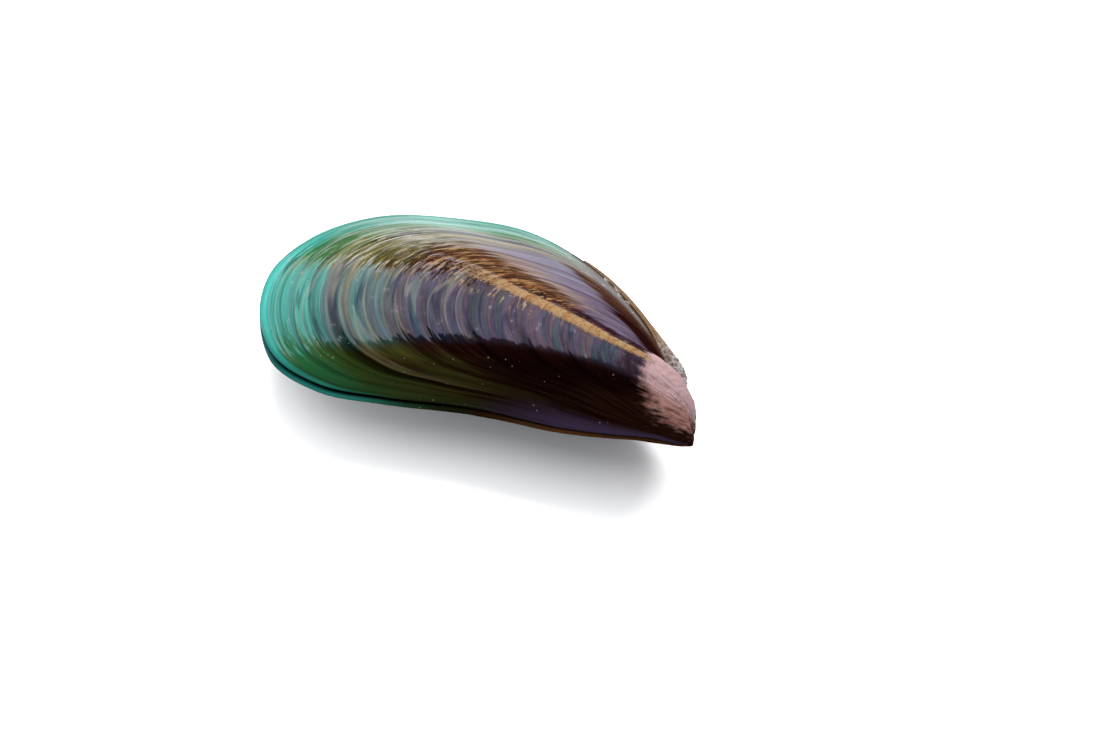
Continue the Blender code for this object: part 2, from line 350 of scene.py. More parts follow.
def growth_rings(margin, stages, pole=(0.0, 0.0), flatten=1.0, lift=UMBO_LIFT, lean=UMBO_LEAN):
    """The growth lines at these stages of growth, from 1 at the margin towards 0 at the beak."""
    stage = np.array(stages)[:, None]
    outline = margin - np.array(pole)
    bearing = np.arctan2(outline[:, 1], -outline[:, 0])
    fade = 1.0 - smooth_step((bearing - SWING_FADE[0]) / (SWING_FADE[1] - SWING_FADE[0]))
    swing = SWING * (1.0 - stage) * np.where(outline[:, 0] > 0.0, 0.0, fade)
    x = outline[:, 0] * np.cos(swing) + outline[:, 1] * np.sin(swing)
    y = outline[:, 1] * np.cos(swing) - outline[:, 0] * np.sin(swing)
    growth = np.array([-math.cos(AXIS_TILT), math.sin(AXIS_TILT)])
    axis = np.array([math.sin(AXIS_TILT), math.cos(AXIS_TILT)])
    reach = x * growth[0] + y * growth[1]
    aside = x * axis[0] + y * axis[1]
    rounded = (reach + np.sqrt(reach**2 + BEAK_ROUNDING**2)) / 2.0
    roll = -np.log(stage) / ROLL_RATE
    level = np.cos(np.minimum(roll, MOST_ROLL))
    forward = lean * smooth_step(roll / UMBO_LEAN_BY)
    flat = (stage * reach * level - forward)[:, :, None] * growth + (stage * aside)[:, :, None] * axis
    height = stage * rounded * np.sin(np.minimum(roll, math.pi / 2)) * flatten + lift * (1.0 - stage) ** 4
    return np.concatenate([flat + np.array(pole), height[:, :, None]], axis=2)


def outward(rings):
    """Unit directions out of the surface at each point of the rings."""
    around = np.roll(rings, -1, axis=1) - np.roll(rings, 1, axis=1)
    across = np.gradient(rings, axis=0)
    direction = np.cross(across, around)
    direction /= np.maximum(np.linalg.norm(direction, axis=2), 1e-9)[:, :, None]
    middle = rings[0].mean(axis=0)
    side = np.sign(((rings - middle) * direction).sum(axis=(1, 2)))
    return direction * side[:, None, None]


def growth_room(rings, stages):
    """How much relief each point has room for, from 0 where the growth lines crowd together to 1."""
    around = np.roll(rings, -1, axis=1) - np.roll(rings, 1, axis=1)
    around /= np.linalg.norm(around, axis=2)[:, :, None]
    across = np.gradient(rings, np.array(stages), axis=0)
    spacing = np.linalg.norm(np.cross(across, around), axis=2)
    return np.clip(spacing / FULL_SPACING, 0.0, 1.0)


def patchy(around, stage, cells_around, cells_along, seed):
    """Smooth random values from -1 to 1 over the surface, which join up all the way round."""
    values = np.random.default_rng(seed).uniform(-1.0, 1.0, (cells_along + 2, cells_around))
    across = (around % 1.0) * cells_around
    along = np.clip(stage, 0.0, 1.0) * cells_along
    left = np.floor(across).astype(int)
    below = np.floor(along).astype(int)
    share_across = smooth_step(across - left)
    share_along = smooth_step(along - below)
    right = (left + 1) % cells_around
    left = left % cells_around
    near = values[below, left] * (1 - share_across) + values[below, right] * share_across
    far = values[below + 1, left] * (1 - share_across) + values[below + 1, right] * share_across
    return near * (1 - share_along) + far * share_along


def terraces(stage, edges, heights):
    """A surface that swells towards each edge and steps down past it."""
    edges = np.concatenate([[0.0], edges, [1.02]])
    heights = np.concatenate([[heights[0]], heights, [heights[-1]]])
    newer = np.clip(np.searchsorted(edges, stage), 1, len(edges) - 1)
    share = (stage - edges[newer - 1]) / (edges[newer] - edges[newer - 1])
    return heights[newer] * np.clip(share, 0.0, 1.0)


def random_terraces(stage, count, seed):
    """Terraces at random stages and of random height, up to 1."""
    random = np.random.default_rng(seed)
    edges = np.sort(random.uniform(0.05, 0.995, count))
    return terraces(stage, edges, random.uniform(0.2, 1.0, count))


def keel_share(around, stage):
    """How much each point belongs to the worn keel, from 0 to 1."""
    place = np.interp(stage, KEEL_STAGES, KEEL_PLACES)
    across = 1.0 - smooth_step(np.abs(around - place) / (KEEL_HALF_WIDTH * 2.0))
    ends = smooth_step((stage - 0.12) / 0.08) * (1.0 - smooth_step((stage - 0.66) / 0.12))
    return across * ends


def keel_crest(around, stage):
    """The crest that the keel stands up as, in millimetres."""
    place = np.interp(stage, KEEL_STAGES, KEEL_PLACES)
    across = np.exp(-(((around - place) * stage / KEEL_CREST_WIDTH) ** 2))
    ends = smooth_step((stage - 0.12) / 0.12) * (1.0 - smooth_step((stage - 0.55) / 0.30))
    return KEEL_CREST * across * ends


def layered(around, stage, layers, seed=0):
    """The sum of patchy values of several sizes."""
    total = 0.0
    for cells_around, cells_along, step, share in layers:
        total = total + patchy(around, stage, cells_around, cells_along, seed + step) * share
    return total


def relief(around, stage, sizes, seed):
    """Height of the surface's relief over the smooth form, in millimetres."""
    wander = 0.006 * patchy(around, stage, 14, 9, seed) + 0.0025 * patchy(around, stage, 40, 20, seed + 1)
    lines = stage + wander
    uneven = 0.75 + 0.35 * patchy(around, stage, 18, 60, seed + 2)
    height = terraces(lines, np.array(ARRESTS), np.array(ARREST_SHARES) * sizes.arrest_step / MM)
    for count, step, share in RIDGES:
        height += random_terraces(lines, count, seed + step) * uneven * sizes.ridge_height / MM * share
    height += layered(around, stage, LUMPS, seed) * sizes.lump_height / MM
    height += keel_crest(around, stage)
    wrinkles = layered(around, stage, KEEL_WRINKLES, seed)
    height += keel_share(around, stage) * wrinkles * sizes.keel_wrinkle / MM
    pits = np.minimum(patchy(around, stage, 46, 130, seed + 9), 0.1) + layered(around, stage, FINE_PITS, seed)
    worn = smooth_step((stage - 0.04) / 0.06) * (1.0 - smooth_step((stage - 0.12) / 0.12))
    return height + worn * pits * sizes.umbo_pit / MM


def hump(around, stage, place, width, grown, length):
    """A rounded hump, 1 at this place round the margin and stage of growth and fading to 0 round it."""
    return np.exp(-(((around - place) / width) ** 2) - ((stage - grown) / length) ** 2)


def fullness(around, stage, slimmer):
    """How far the form stands out past the growth law, in millimetres, at the umbo and the front flank."""
    behind = hump(around, stage, 0.62, 0.16, 0.17, 0.09)
    front = hump(around, stage, 0.25, 0.17, 0.07, 0.08)
    flank = hump(around, stage, 0.32, 0.12, 0.24, 0.16)
    return UMBO_FULLER * behind - UMBO_LEANER * front - slimmer * flank


def about_hinge(angle):
    """The turn about the hinge line."""
    front = Matrix.Translation((*HINGE_FRONT, 0.0))
    along = [back - fore for back, fore in zip(HINGE_BACK, HINGE_FRONT)]
    return front @ Matrix.Rotation(angle, 4, (*along, 0.0)) @ front.inverted()


def at_rest():
    """Takes a point in millimetres from the beak to where the shell lies, in metres."""
    turn = Matrix.Rotation(REST_ROLL, 4, "X") @ Matrix.Rotation(REST_PITCH, 4, "Y")
    return Matrix.Scale(MM, 4) @ Matrix.Translation(BEAK_AT) @ turn


def beak_trim(stages):
    """How far the beak is drawn back from where the growth law puts it, at these stages."""
    share = 1.0 - smooth_step((stages - OUTER_LAST) / (BEAK_TRIM_TO - OUTER_LAST))
    return share[:, None, None] * np.array((*BEAK_TRIM, 0.0))


def rounded_beak(points):
    """The points with the beak end worn down to a rounded profile."""
    limit = BEAK_REACH - BEAK_CURVE * (points[:, :, 2] - BEAK_REACH_AT) ** 2
    reach = points[:, :, 0]
    worn = (reach + limit - np.sqrt((reach - limit) ** 2 + BEAK_SOFTNESS**2)) / 2
    return np.concatenate([worn[:, :, None], points[:, :, 1:]], axis=2)


def outer_surface(margin, sizes, seed, slimmer):
    """The outer surface from the beak to the margin: its points, each row's stage and the room for relief."""
    stages = OUTER_LAST + (1.0 - OUTER_LAST) * np.linspace(0.0, 1.0, OUTER_ROWS) ** OUTER_CROWDING
    smooth = growth_rings(margin, stages) + beak_trim(stages)
    room = growth_room(smooth, stages)
    around = np.broadcast_to(np.linspace(0.0, 1.0, AROUND, endpoint=False), smooth.shape[:2])
    stage = np.broadcast_to(stages[:, None], smooth.shape[:2])
    calm = smooth_step((1.0 - stage) / EDGE_CALM)
    height = relief(around, stage, sizes, seed) * room * calm + fullness(around, stage, slimmer)
    outer = rounded_beak(smooth + outward(smooth) * height[:, :, None])
    edge_lift = LIP_DEPTH * (1.0 - smooth_step((1.0 - stages) / LIP_ROUNDING))
    outer[:, :, 2] = np.maximum(outer[:, :, 2], 0.0) + edge_lift[:, None]
    return outer, stages, room


def rounded_lip(margin):
    """Rows of points over the rounded edge, from the outer surface to the hollow."""
    rows = []
    for row in range(LIP_ROWS):
        turned = math.pi * (row + 1) / (LIP_ROWS + 1)
        line = inset(margin, LIP_WIDTH * (1.0 - math.cos(turned)) / 2)
        rows.append(np.column_stack([line, np.full(len(line), LIP_DEPTH * (1.0 - math.sin(turned)))]))
    return np.array(rows)


def hollow_surface(margin):
    """The inside's points, from the margin to the back of the hollow, and each row's stage."""
    stages = np.exp(math.log(HOLLOW_LAST) * np.linspace(0.0, 1.0, HOLLOW_ROWS) ** HOLLOW_CROWDING)
    hollow = growth_rings(inset(margin, LIP_WIDTH), stages, HOLLOW_POLE, HOLLOW_FLATTEN, 0.0, 0.0)
    hollow[:, :, 2] += LIP_DEPTH * stages[:, None]
    return hollow, stages


def capped(rows):
    """The rows with one more at each end, whose points all lie in the middle of the end row."""
    first = np.broadcast_to(rows[0].mean(axis=0), rows[:1].shape)
    last = np.broadcast_to(rows[-1].mean(axis=0), rows[:1].shape)
    return np.concatenate([first, rows, last])


def valve_surface(margin, sizes, seed, slimmer):
    """Points of a right valve by row and place around, with each row's stage and the room for relief."""
    outer, stages, room = outer_surface(margin, sizes, seed, slimmer)
    hollow, hollow_stages = hollow_surface(margin)
    rows = capped(np.concatenate([outer, rounded_lip(margin), hollow]))
    row_stages = np.concatenate([stages[:1], stages, np.ones(LIP_ROWS), hollow_stages, hollow_stages[-1:]])
    inner_room = np.ones((len(rows) - 1 - len(room), room.shape[1]))
    return rows, row_stages, np.concatenate([room[:1], room, inner_room])


def wrapped_mesh(name, rows, stages, room):
    """A mesh through the rows of points, from a grid whose sides meet and whose ends close on points."""
    count = rows.shape[1]
    mesh = bmesh.new()
    mesh.loops.layers.uv.new("growth")
    bmesh.ops.create_grid(mesh, x_segments=count, y_segments=len(rows) - 1, size=0.5, calc_uvs=True)
    data = bpy.data.meshes.new(name)
    mesh.to_mesh(data)
    flat = np.zeros(len(data.vertices) * 3, np.float32)
    data.vertices.foreach_get("co", flat)
    flat = flat.reshape(-1, 3)
    column = np.rint((flat[:, 0] + 0.5) * count).astype(int)
    row = np.rint((flat[:, 1] + 0.5) * (len(rows) - 1)).astype(int)
    data.vertices.foreach_set("co", rows[row, column % count].astype(np.float32).ravel())
    corner = np.zeros(len(data.loops), np.int32)
    data.loops.foreach_get("vertex_index", corner)
    places = np.stack([column[corner] / count, stages[row[corner]]], axis=1)
    data.uv_layers["growth"].data.foreach_set("uv", places.astype(np.float32).ravel())
    for label, values in (("row", row), ("room", room[row, column % count])):
        layer = data.attributes.new(label, "FLOAT", "POINT")
        layer.data.foreach_set("value", values.astype(np.float32))
    mesh.free()
    return data


def closed_up(data):
    """Welds a wrapped mesh's sides and ends and turns its faces outwards."""
    mesh = bmesh.new()
    mesh.from_mesh(data)
    bmesh.ops.remove_doubles(mesh, verts=mesh.verts, dist=WELD)
    bmesh.ops.recalc_face_normals(mesh, faces=mesh.faces)
    mesh.to_mesh(data)
    mesh.free()
    data.shade_smooth()


def show(name, data, materials, node):
    """Puts a finished mesh in the scene in place of its solid."""
    piece = bpy.data.objects.new(name, data)
    bpy.context.scene.collection.objects.link(piece)
    for material in materials:
        data.materials.append(material)
    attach(piece, "root")
    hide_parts(node)


def make_valve(name, node, side, margin, seed):
    """A valve's piece: side is 1 for the right one and -1 for the left one."""
    slimmer = 0.0 if side > 0 else LEFT_SLIMMER
    rows, stages, room = valve_surface(margin, bpy.context.scene.mussel_sizes, seed, slimmer)
    rows = (rows + (0.0, 0.0, VALVE_GAP / 2)) * (1.0, 1.0, side)
    data = wrapped_mesh(name, rows, stages, room)
    inside = face_rows(data) > NACRE_FROM_ROW
    data.polygons.foreach_set("material_index", inside.astype(np.int32))
    data.transform(at_rest() @ about_hinge(GAPE if side > 0 else 0.0))
    settle(data)
    closed_up(data)
    show(name, data, (shell_material(name + "_skin", side, seed), nacre_material()), node)


def face_rows(data):
    """The row of the grid that each face lies in."""
    row = np.zeros(len(data.vertices), np.float32)
    data.attributes["row"].data.foreach_get("value", row)
    first = np.zeros(len(data.polygons), np.int32)
    data.polygons.foreach_get("loop_start", first)
    corner = np.zeros(len(data.loops), np.int32)
    data.loops.foreach_get("vertex_index", corner)
    around_face = np.stack([row[corner[first + step]] for step in range(4)])
    return around_face.min(axis=0)


def settle(data):
    """Keeps a mesh from reaching below the floor, where the shell is worn flat."""
    flat = np.zeros(len(data.vertices) * 3, np.float32)
    data.vertices.foreach_get("co", flat)
    flat = flat.reshape(-1, 3)
    flat[:, 2] = np.maximum(flat[:, 2], 0.0)
    data.vertices.foreach_set("co", flat.ravel())


def node_tree(name):
    """A new material with its shader, and the tools to add nodes to it."""
    material = bpy.data.materials.new(name)
    material.use_nodes = True
    return material, Nodes(material.node_tree)


class Nodes:
    """Adds nodes to a material and links them."""

    def __init__(self, tree):
        self.tree = tree
        self.shader = tree.nodes["Principled BSDF"]

    def fill(self, node, inputs):
        """Links a node's inputs to outputs, or sets their values."""
        for key, value in inputs.items():
            socket = node.inputs[key]
            if isinstance(value, bpy.types.NodeSocket):
                self.tree.links.new(value, socket)
            elif hasattr(value, "__len__") and socket.type == "RGBA":
                socket.default_value = (*value, 1.0)
            else:
                socket.default_value = value

    def add(self, kind, output, inputs, **settings):
        """One node with these inputs and settings, and its output."""
        node = self.tree.nodes.new(kind)
        for key, value in settings.items():
            setattr(node, key, value)
        self.fill(node, inputs)
        return node.outputs[output]

    def maths(self, operation, a, b=0.0, c=0.0):
        """Arithmetic on one, two or three values."""
        return self.add("ShaderNodeMath", 0, {0: a, 1: b, 2: c}, operation=operation)

    def times(self, value, *others):
        """The product of two or more values."""
        for other in others:
            value = self.maths("MULTIPLY", value, other)
        return value

    def plus(self, value, *shares):
        """The value with shares of others added: a share, its value, the next share and so on."""
        for share, other in zip(shares[::2], shares[1::2]):
            value = self.maths("MULTIPLY_ADD", other, share, value)
        return value

    def less(self, share, value):
        """1 less a share of the value."""
        return self.plus(1.0, -share, value)

    def ease(self, value, none, full):
        """0 up to one level and 1 from the other on, eased between. Either may be the higher one."""
        inputs = {"Value": value, "From Min": none, "From Max": full}
        return self.add("ShaderNodeMapRange", "Result", inputs, interpolation_type="SMOOTHSTEP")

    def between(self, value, rise, fall):
        """1 between two eased edges and 0 outside them."""
        return self.times(self.ease(value, *rise), self.ease(value, *fall))

    def vector(self, x, y, z):
        """A vector of three values."""
        return self.add("ShaderNodeCombineXYZ", 0, {"X": x, "Y": y, "Z": z})

    def stretched(self, around, stage, cells_around, cells_along, seed, detail):
        """Noise drawn out along the growth lines, about 0."""
        vector = self.vector(self.times(around, cells_around), self.times(stage, cells_along), seed)
        return self.maths("SUBTRACT", self.noise(vector, 1.0, detail), 0.5)

    def noise(self, vector, scale, detail, roughness=0.55):
        """Fractal noise from 0 to 1."""
        inputs = {"Vector": vector, "Scale": scale, "Detail": detail, "Roughness": roughness}
        return self.add("ShaderNodeTexNoise", "Fac", inputs)

    def cells(self, vector, scale):
        """Distance to the nearest of scattered points."""
        return self.add("ShaderNodeTexVoronoi", "Distance", {"Vector": vector, "Scale": scale})

    def mix(self, factor, a, b, blend="MIX"):
        """One colour over another."""
        return self.add("ShaderNodeMix", 2, {0: factor, 6: a, 7: b}, data_type="RGBA", blend_type=blend)

    def ramp(self, value, stops):
        """Colours along a value."""
        node = self.tree.nodes.new("ShaderNodeValToRGB")
        elements = node.color_ramp.elements
        while len(elements) < len(stops):
            elements.new(0.5)
        for element, (place, colour) in zip(elements, stops):
            element.position = place
            element.color = (*colour, 1.0)
        self.fill(node, {"Fac": value})
        return node.outputs["Color"]

    def grey_ramp(self, value, places, levels):
        """A level that follows a value."""
        return self.ramp(value, [(place, (level, level, level)) for place, level in zip(places, levels)])

    def bump(self, height, distance, normal=None):
        """A normal for this height, times the distance in metres."""
        inputs = {"Height": height, "Distance": distance}
        if normal is not None:
            inputs["Normal"] = normal
        return self.add("ShaderNodeBump", "Normal", inputs)


def growth_place(nodes):
    """How far round the piece each point lies, and its stage of growth."""
    split = nodes.tree.nodes.new("ShaderNodeSeparateXYZ")
    nodes.fill(split, {0: nodes.add("ShaderNodeUVMap", "UV", {}, uv_map="growth")})
    return split.outputs["X"], split.outputs["Y"]


def growth_fields(nodes, seed):
    """Where each point lies on the valve, and streaks drawn out along the growth lines there."""
    around, stage = growth_place(nodes)
    fields = SimpleNamespace(around=around, stage=stage)
    fields.point = nodes.add("ShaderNodeTexCoord", "Object", {})
    fields.room = nodes.add("ShaderNodeAttribute", "Fac", {}, attribute_name="room")
    fields.row = nodes.add("ShaderNodeAttribute", "Fac", {}, attribute_name="row")
    for name, (cells_around, cells_along, step, detail) in STREAKS.items():
        setattr(fields, name, nodes.stretched(around, stage, cells_around, cells_along, seed + step, detail))
    fields.grain = nodes.noise(fields.point, 1500.0, 3.0, 0.6)
    fields.mottle = nodes.noise(fields.point, 420.0, 4.0, 0.6)
    late = nodes.ease(stage, 0.82, 0.92)
    fields.from_front = nodes.plus(around, -0.022, late, 0.13, nodes.times(fields.fleck, late))
    fields.young = nodes.ease(stage, 0.60, 0.34)
    fields.past_keel = nodes.maths("SUBTRACT", around, nodes.grey_ramp(stage, KEEL_STAGES, KEEL_PLACES))
    return fields


def add_wear(nodes, fields, side):
    """Adds how far the skin is worn off: along the keel, with a ragged edge, and round the beak."""
    fields.ragged = nodes.stretched(fields.around, fields.stage, 210.0, 150.0, 3.1, 5.0)
    wider = nodes.less(0.28, nodes.ease(fields.stage, 0.50, 0.34))
    off_keel = nodes.times(nodes.maths("ABSOLUTE", fields.past_keel), wider)
    off_keel = nodes.plus(off_keel, 0.030, fields.ragged, 0.008, fields.broad)
    keel = nodes.ease(off_keel, KEEL_HALF_WIDTH, KEEL_HALF_WIDTH * 0.6)
    keel = nodes.times(keel, nodes.ease(fields.stage, 0.16, 0.22))
    fields.keel = nodes.times(keel, nodes.ease(nodes.plus(fields.stage, 0.5, fields.ragged), 0.68, 0.48))
    centre = (*UMBO_CENTRE[:2], BEAK_LEVEL + side * (UMBO_CENTRE[2] - BEAK_LEVEL))
    away = nodes.add("ShaderNodeVectorMath", "Value", {0: fields.point, 1: centre}, operation="DISTANCE")
    away = nodes.plus(away, 0.006, nodes.maths("SUBTRACT", fields.mottle, 0.5), 0.008, fields.radial)
    fields.umbo = nodes.ease(away, UMBO_RADIUS + UMBO_BLEND, UMBO_RADIUS - UMBO_BLEND)
    fields.worn = nodes.maths("MAXIMUM", fields.keel, fields.umbo)


def growth_bands(nodes, fields, colours):
    """Green, olive and brown bands along the growth lines, near-black towards the beak and the front."""
    shifted = nodes.plus(fields.stage, 0.16, fields.broad, 0.16, fields.streak)
    shifted = nodes.plus(shifted, -0.10, nodes.ease(fields.around, 0.38, 0.22))
    under_bloom = nodes.times(nodes.ease(fields.around, 0.32, 0.37), nodes.ease(fields.stage, 0.90, 0.80))
    stops = (
        (0.40, colours.maroon),
        (0.55, colours.maroon),
        (0.62, colours.chocolate),
        (0.70, colours.olive),
        (0.76, colours.chocolate),
        (0.80, colours.olive),
        (0.87, colours.leaf),
        (0.945, colours.emerald),
    )
    return nodes.ramp(nodes.plus(shifted, -0.09, under_bloom), stops)


def upper_flank(nodes, fields):
    """How much of the skin's bloom covers the flank under the keel."""
    edge = nodes.grey_ramp(fields.stage, BLOOM_STAGES, BLOOM_EDGES)
    past_edge = nodes.plus(nodes.maths("SUBTRACT", fields.around, edge), 0.10, fields.fleck)
    beside = nodes.ease(fields.from_front, 0.355, 0.380)
    return nodes.times(beside, nodes.ease(past_edge, 0.012, -0.012), 0.85)


def flank_colour(nodes, fields, colours):
    """The bloom's colour, from turquoise at the lip through sea green and slate to mauve near the beak."""
    stops = (
        (0.30, colours.mauve),
        (0.55, colours.mauve),
        (0.63, colours.slate),
        (0.70, colours.slate),
        (0.80, colours.sea),
        (0.93, colours.lagoon),
    )
    return nodes.ramp(nodes.plus(fields.stage, 0.14, fields.streak, 0.20, fields.band), stops)


def hinge_slope(nodes, fields):
    """How much of the paler hinge side shows between the keel and the hinge."""
    side = nodes.ease(nodes.plus(fields.around, 0.04, fields.streak), 0.530, 0.575)
    before_lip = nodes.ease(nodes.plus(fields.stage, 0.1, fields.streak), 0.92, 0.84)
    return nodes.times(side, nodes.times(nodes.ease(fields.stage, 0.17, 0.27), before_lip), 0.92)


def slope_bands(nodes, stage, colours, middle, places):
    """Bands of the hinge side at these places: mauve, lilac, a middle colour and sage."""
    bands = (colours.mauve, colours.lilac, colours.lilac, middle, middle, colours.sage)
    return nodes.ramp(stage, tuple(zip(places, bands)))


def slope_colour(nodes, fields, colours):
    """Bands of the hinge side, hazier towards the hinge, and the hinge's dark edge."""
    stage = nodes.plus(fields.stage, 0.25, fields.streak, 0.20, fields.broad)
    near = slope_bands(nodes, stage, colours, colours.tan, (0.26, 0.34, 0.40, 0.50, 0.70, 0.78))
    far = slope_bands(nodes, stage, colours, colours.haze, (0.26, 0.34, 0.56, 0.66, 0.78, 0.84))
    aside = nodes.plus(fields.around, 0.20, fields.streak, 0.15, fields.band)
    colour = nodes.mix(nodes.ease(aside, 0.63, 0.68), near, far)
    edge = nodes.ease(nodes.plus(fields.around, 0.10, fields.broad, 0.10, fields.streak), 0.722, 0.752)
    grown = nodes.ease(nodes.plus(fields.stage, 0.2, fields.streak), 0.88, 0.82)
    grown = nodes.times(grown, nodes.ease(fields.stage, 0.20, 0.30))
    rusty = nodes.mix(nodes.ease(fields.hair, 0.04, 0.14), colours.bark, colours.orange)
    deeper = nodes.mix(nodes.ease(fields.stage, 0.74, 0.56), rusty, colours.maroon)
    return nodes.mix(nodes.times(edge, grown), colour, deeper)


def arrest_lines(nodes, stage):
    """Thin dark lines at the growth arrests."""
    stops = [(0.0, 1.0)]
    for arrest, share in zip(ARRESTS, ARREST_SHARES):
        dark = 1.0 - 0.85 * share
        width = 0.004 + 0.022 * share**4
        stops += [(arrest - 0.007, 1.0), (arrest, dark)]
        stops += [(arrest + width, dark + 0.1), (arrest + width + 0.011, 1.0)]
    return nodes.grey_ramp(stage, *zip(*stops))


def edge_colour(nodes, fields, colours, colour, side):
    """The turquoise lip, the front lip with the right valve's painted sheen, and the gritty crust along the
    hinge.
    """
    lip_from = nodes.grey_ramp(fields.around, LIP_PLACES, LIP_STAGES)
    past = nodes.maths("SUBTRACT", nodes.plus(fields.stage, 0.02, fields.streak), lip_from)
    lip = nodes.mix(nodes.ease(fields.around, 0.48, 0.58), colours.lip, colours.mint)
    colour = nodes.mix(nodes.ease(past, -0.018, 0.010), colour, lip)
    # The right valve's front lip is plum: purple pigment with a painted bluish sheen standing for the pale
    # floor mirrored in it
    front_lip = nodes.times(nodes.ease(fields.around, 0.22, 0.10), nodes.ease(fields.stage, 0.72, 0.92))
    colour = nodes.mix(front_lip, colour, colours.plum_and_painted_sheen if side > 0 else colours.orange)
    hinge = nodes.times(nodes.ease(fields.around, 0.74, 0.80), nodes.ease(fields.stage, 0.70, 0.85))
    crust = nodes.mix(nodes.ease(fields.mottle, 0.56, 0.66), colours.chocolate, colours.grit)
    return nodes.mix(hinge, colour, crust)


def pigment_depth_and_painted_shade(nodes, fields, side):
    """Light and dark of the colour: fine growth lines and a darker front in the pigment, and painted shade: a
    darker rim for the gap between the valves and a darker left valve for the shade under the right one.
    """
    lines = nodes.plus(1.0, 0.8, fields.hair, 1.0, fields.streak, 1.2, fields.band)
    shade = nodes.grey_ramp(fields.around, SHADE_PLACES, SHADE_LEVELS)
    # Painted shade: the rounded edge and the skin just inside it are darkened, standing for the shade in the
    # gap between the valves
    rim = nodes.less(0.55, nodes.ease(fields.row, OUTER_ROWS + 3, OUTER_ROWS + LIP_ROWS + 3))
    # Painted shade: the left valve is darkened all over, standing for the shade under the right valve
    depth_and_shade = nodes.times(lines, nodes.times(shade, rim, 1.0 if side > 0 else LEFT_PAINTED_SHADE))
    return nodes.vector(depth_and_shade, depth_and_shade, depth_and_shade)


def pigment(nodes, fields, colours, side):
    """Colour of the skin: turquoise lip, green, olive and brown bands, near-black front half, with painted
    shade on the rim and over the left valve.
    """
    colour = growth_bands(nodes, fields, colours)
    colour = nodes.mix(upper_flank(nodes, fields), colour, flank_colour(nodes, fields, colours))
    colour = nodes.mix(hinge_slope(nodes, fields), colour, slope_colour(nodes, fields, colours))
    pale = nodes.between(fields.stage, (0.795, 0.815), (0.835, 0.825))
    colour = nodes.mix(nodes.times(pale, nodes.plus(0.5, 1.5, fields.streak)), colour, colours.beige)
    lines = arrest_lines(nodes, nodes.plus(fields.stage, 0.008, fields.broad))
    colour = nodes.mix(1.0, colour, lines, "MULTIPLY")
    front = nodes.ease(nodes.plus(fields.around, 0.05, fields.broad), 0.32, 0.14)
    umber = nodes.mix(nodes.ease(fields.streak, -0.05, 0.10), colours.maroon, colours.chocolate)
    colour = edge_colour(nodes, fields, colours, nodes.mix(front, colour, umber), side)
    return nodes.mix(1.0, colour, pigment_depth_and_painted_shade(nodes, fields, side), "MULTIPLY")


def ridge_colour(nodes, fields, colours, colour):
    """Brown and orange streaks on the hinge side of the keel, and pale ones where it fades."""
    wavering = nodes.plus(fields.around, 0.12, fields.streak)
    grown = nodes.plus(fields.stage, 0.25, fields.streak)
    brown = nodes.between(wavering, (0.510, 0.530), (0.615, 0.585))
    brown = nodes.times(brown, nodes.ease(grown, 0.77, 0.71), nodes.ease(fields.stage, 0.36, 0.46), 0.9)
    streaks = nodes.mix(nodes.ease(fields.streak, -0.02, 0.12), colours.chocolate, colours.orange)
    colour = nodes.mix(brown, colour, streaks)
    pale = nodes.between(nodes.plus(fields.past_keel, 0.12, fields.streak), (-0.05, -0.02), (0.02, 0.0))
    pale = nodes.times(pale, nodes.ease(grown, 0.73, 0.79), nodes.ease(grown, 0.90, 0.86), 0.6)
    return nodes.mix(pale, colour, colours.beige)


def keel_flecks(nodes, fields, colours, colour):
    """Dark and pale flecks along the keel and over its broad end."""
    flecked = nodes.between(fields.past_keel, (-0.06, -0.03), (0.10, 0.04))
    flecked = nodes.times(flecked, nodes.ease(fields.stage, 0.34, 0.44), nodes.ease(fields.stage, 0.93, 0.86))
    dark = nodes.mix(nodes.ease(fields.stage, 0.74, 0.84), colours.chocolate, colours.olive)
    dark = nodes.mix(nodes.ease(fields.stage, 0.84, 0.90), dark, colours.leaf)
    colour = nodes.mix(nodes.times(flecked, nodes.ease(fields.fleck, 0.02, 0.07)), colour, dark)
    pale = nodes.mix(nodes.ease(fields.stage, 0.70, 0.80), colours.gold, colours.cream)
    return nodes.mix(nodes.times(flecked, nodes.ease(fields.fleck, -0.06, -0.12), 0.7), colour, pale)


def worn_colour(nodes, fields, colours, colour):
    """Gold and orange of the worn keel, and the bare umbo's pink with its rust streaks; the umbo's front is
    rose, its own reddish tone made lighter with painted light standing for the light thrown up onto it from
    below.
    """
    golden = nodes.ease(nodes.plus(fields.ragged, 0.8, fields.streak), -0.16, 0.06)
    colour = nodes.mix(fields.keel, colour, nodes.mix(golden, colours.orange, colours.gold))
    fleck = nodes.plus(nodes.noise(fields.point, 300.0, 5.0, 0.6), 1.3, fields.radial)
    fleck = nodes.plus(fleck, 0.30, nodes.ease(fields.around, 0.25, 0.50), 0.20, fields.umbo)
    # Painted light: towards the front the umbo turns to the lighter rose
    pink = nodes.mix(nodes.ease(fields.around, 0.42, 0.28), colours.bare, colours.rose_with_painted_light)
    umbo = nodes.mix(nodes.ease(fleck, 0.32, 0.86), colours.rust, pink)
    return nodes.mix(nodes.ease(fields.umbo, 0.0, 0.6), colour, umbo)


def thin_lines(nodes, fields, count, seed):
    """Thin lines that run along the growth lines at uneven distances, more of them for a higher count."""
    away = nodes.maths("ABSOLUTE", nodes.stretched(fields.around, fields.stage, 3.5, count, seed, 1.0))
    return nodes.ease(away, 0.034, 0.010)


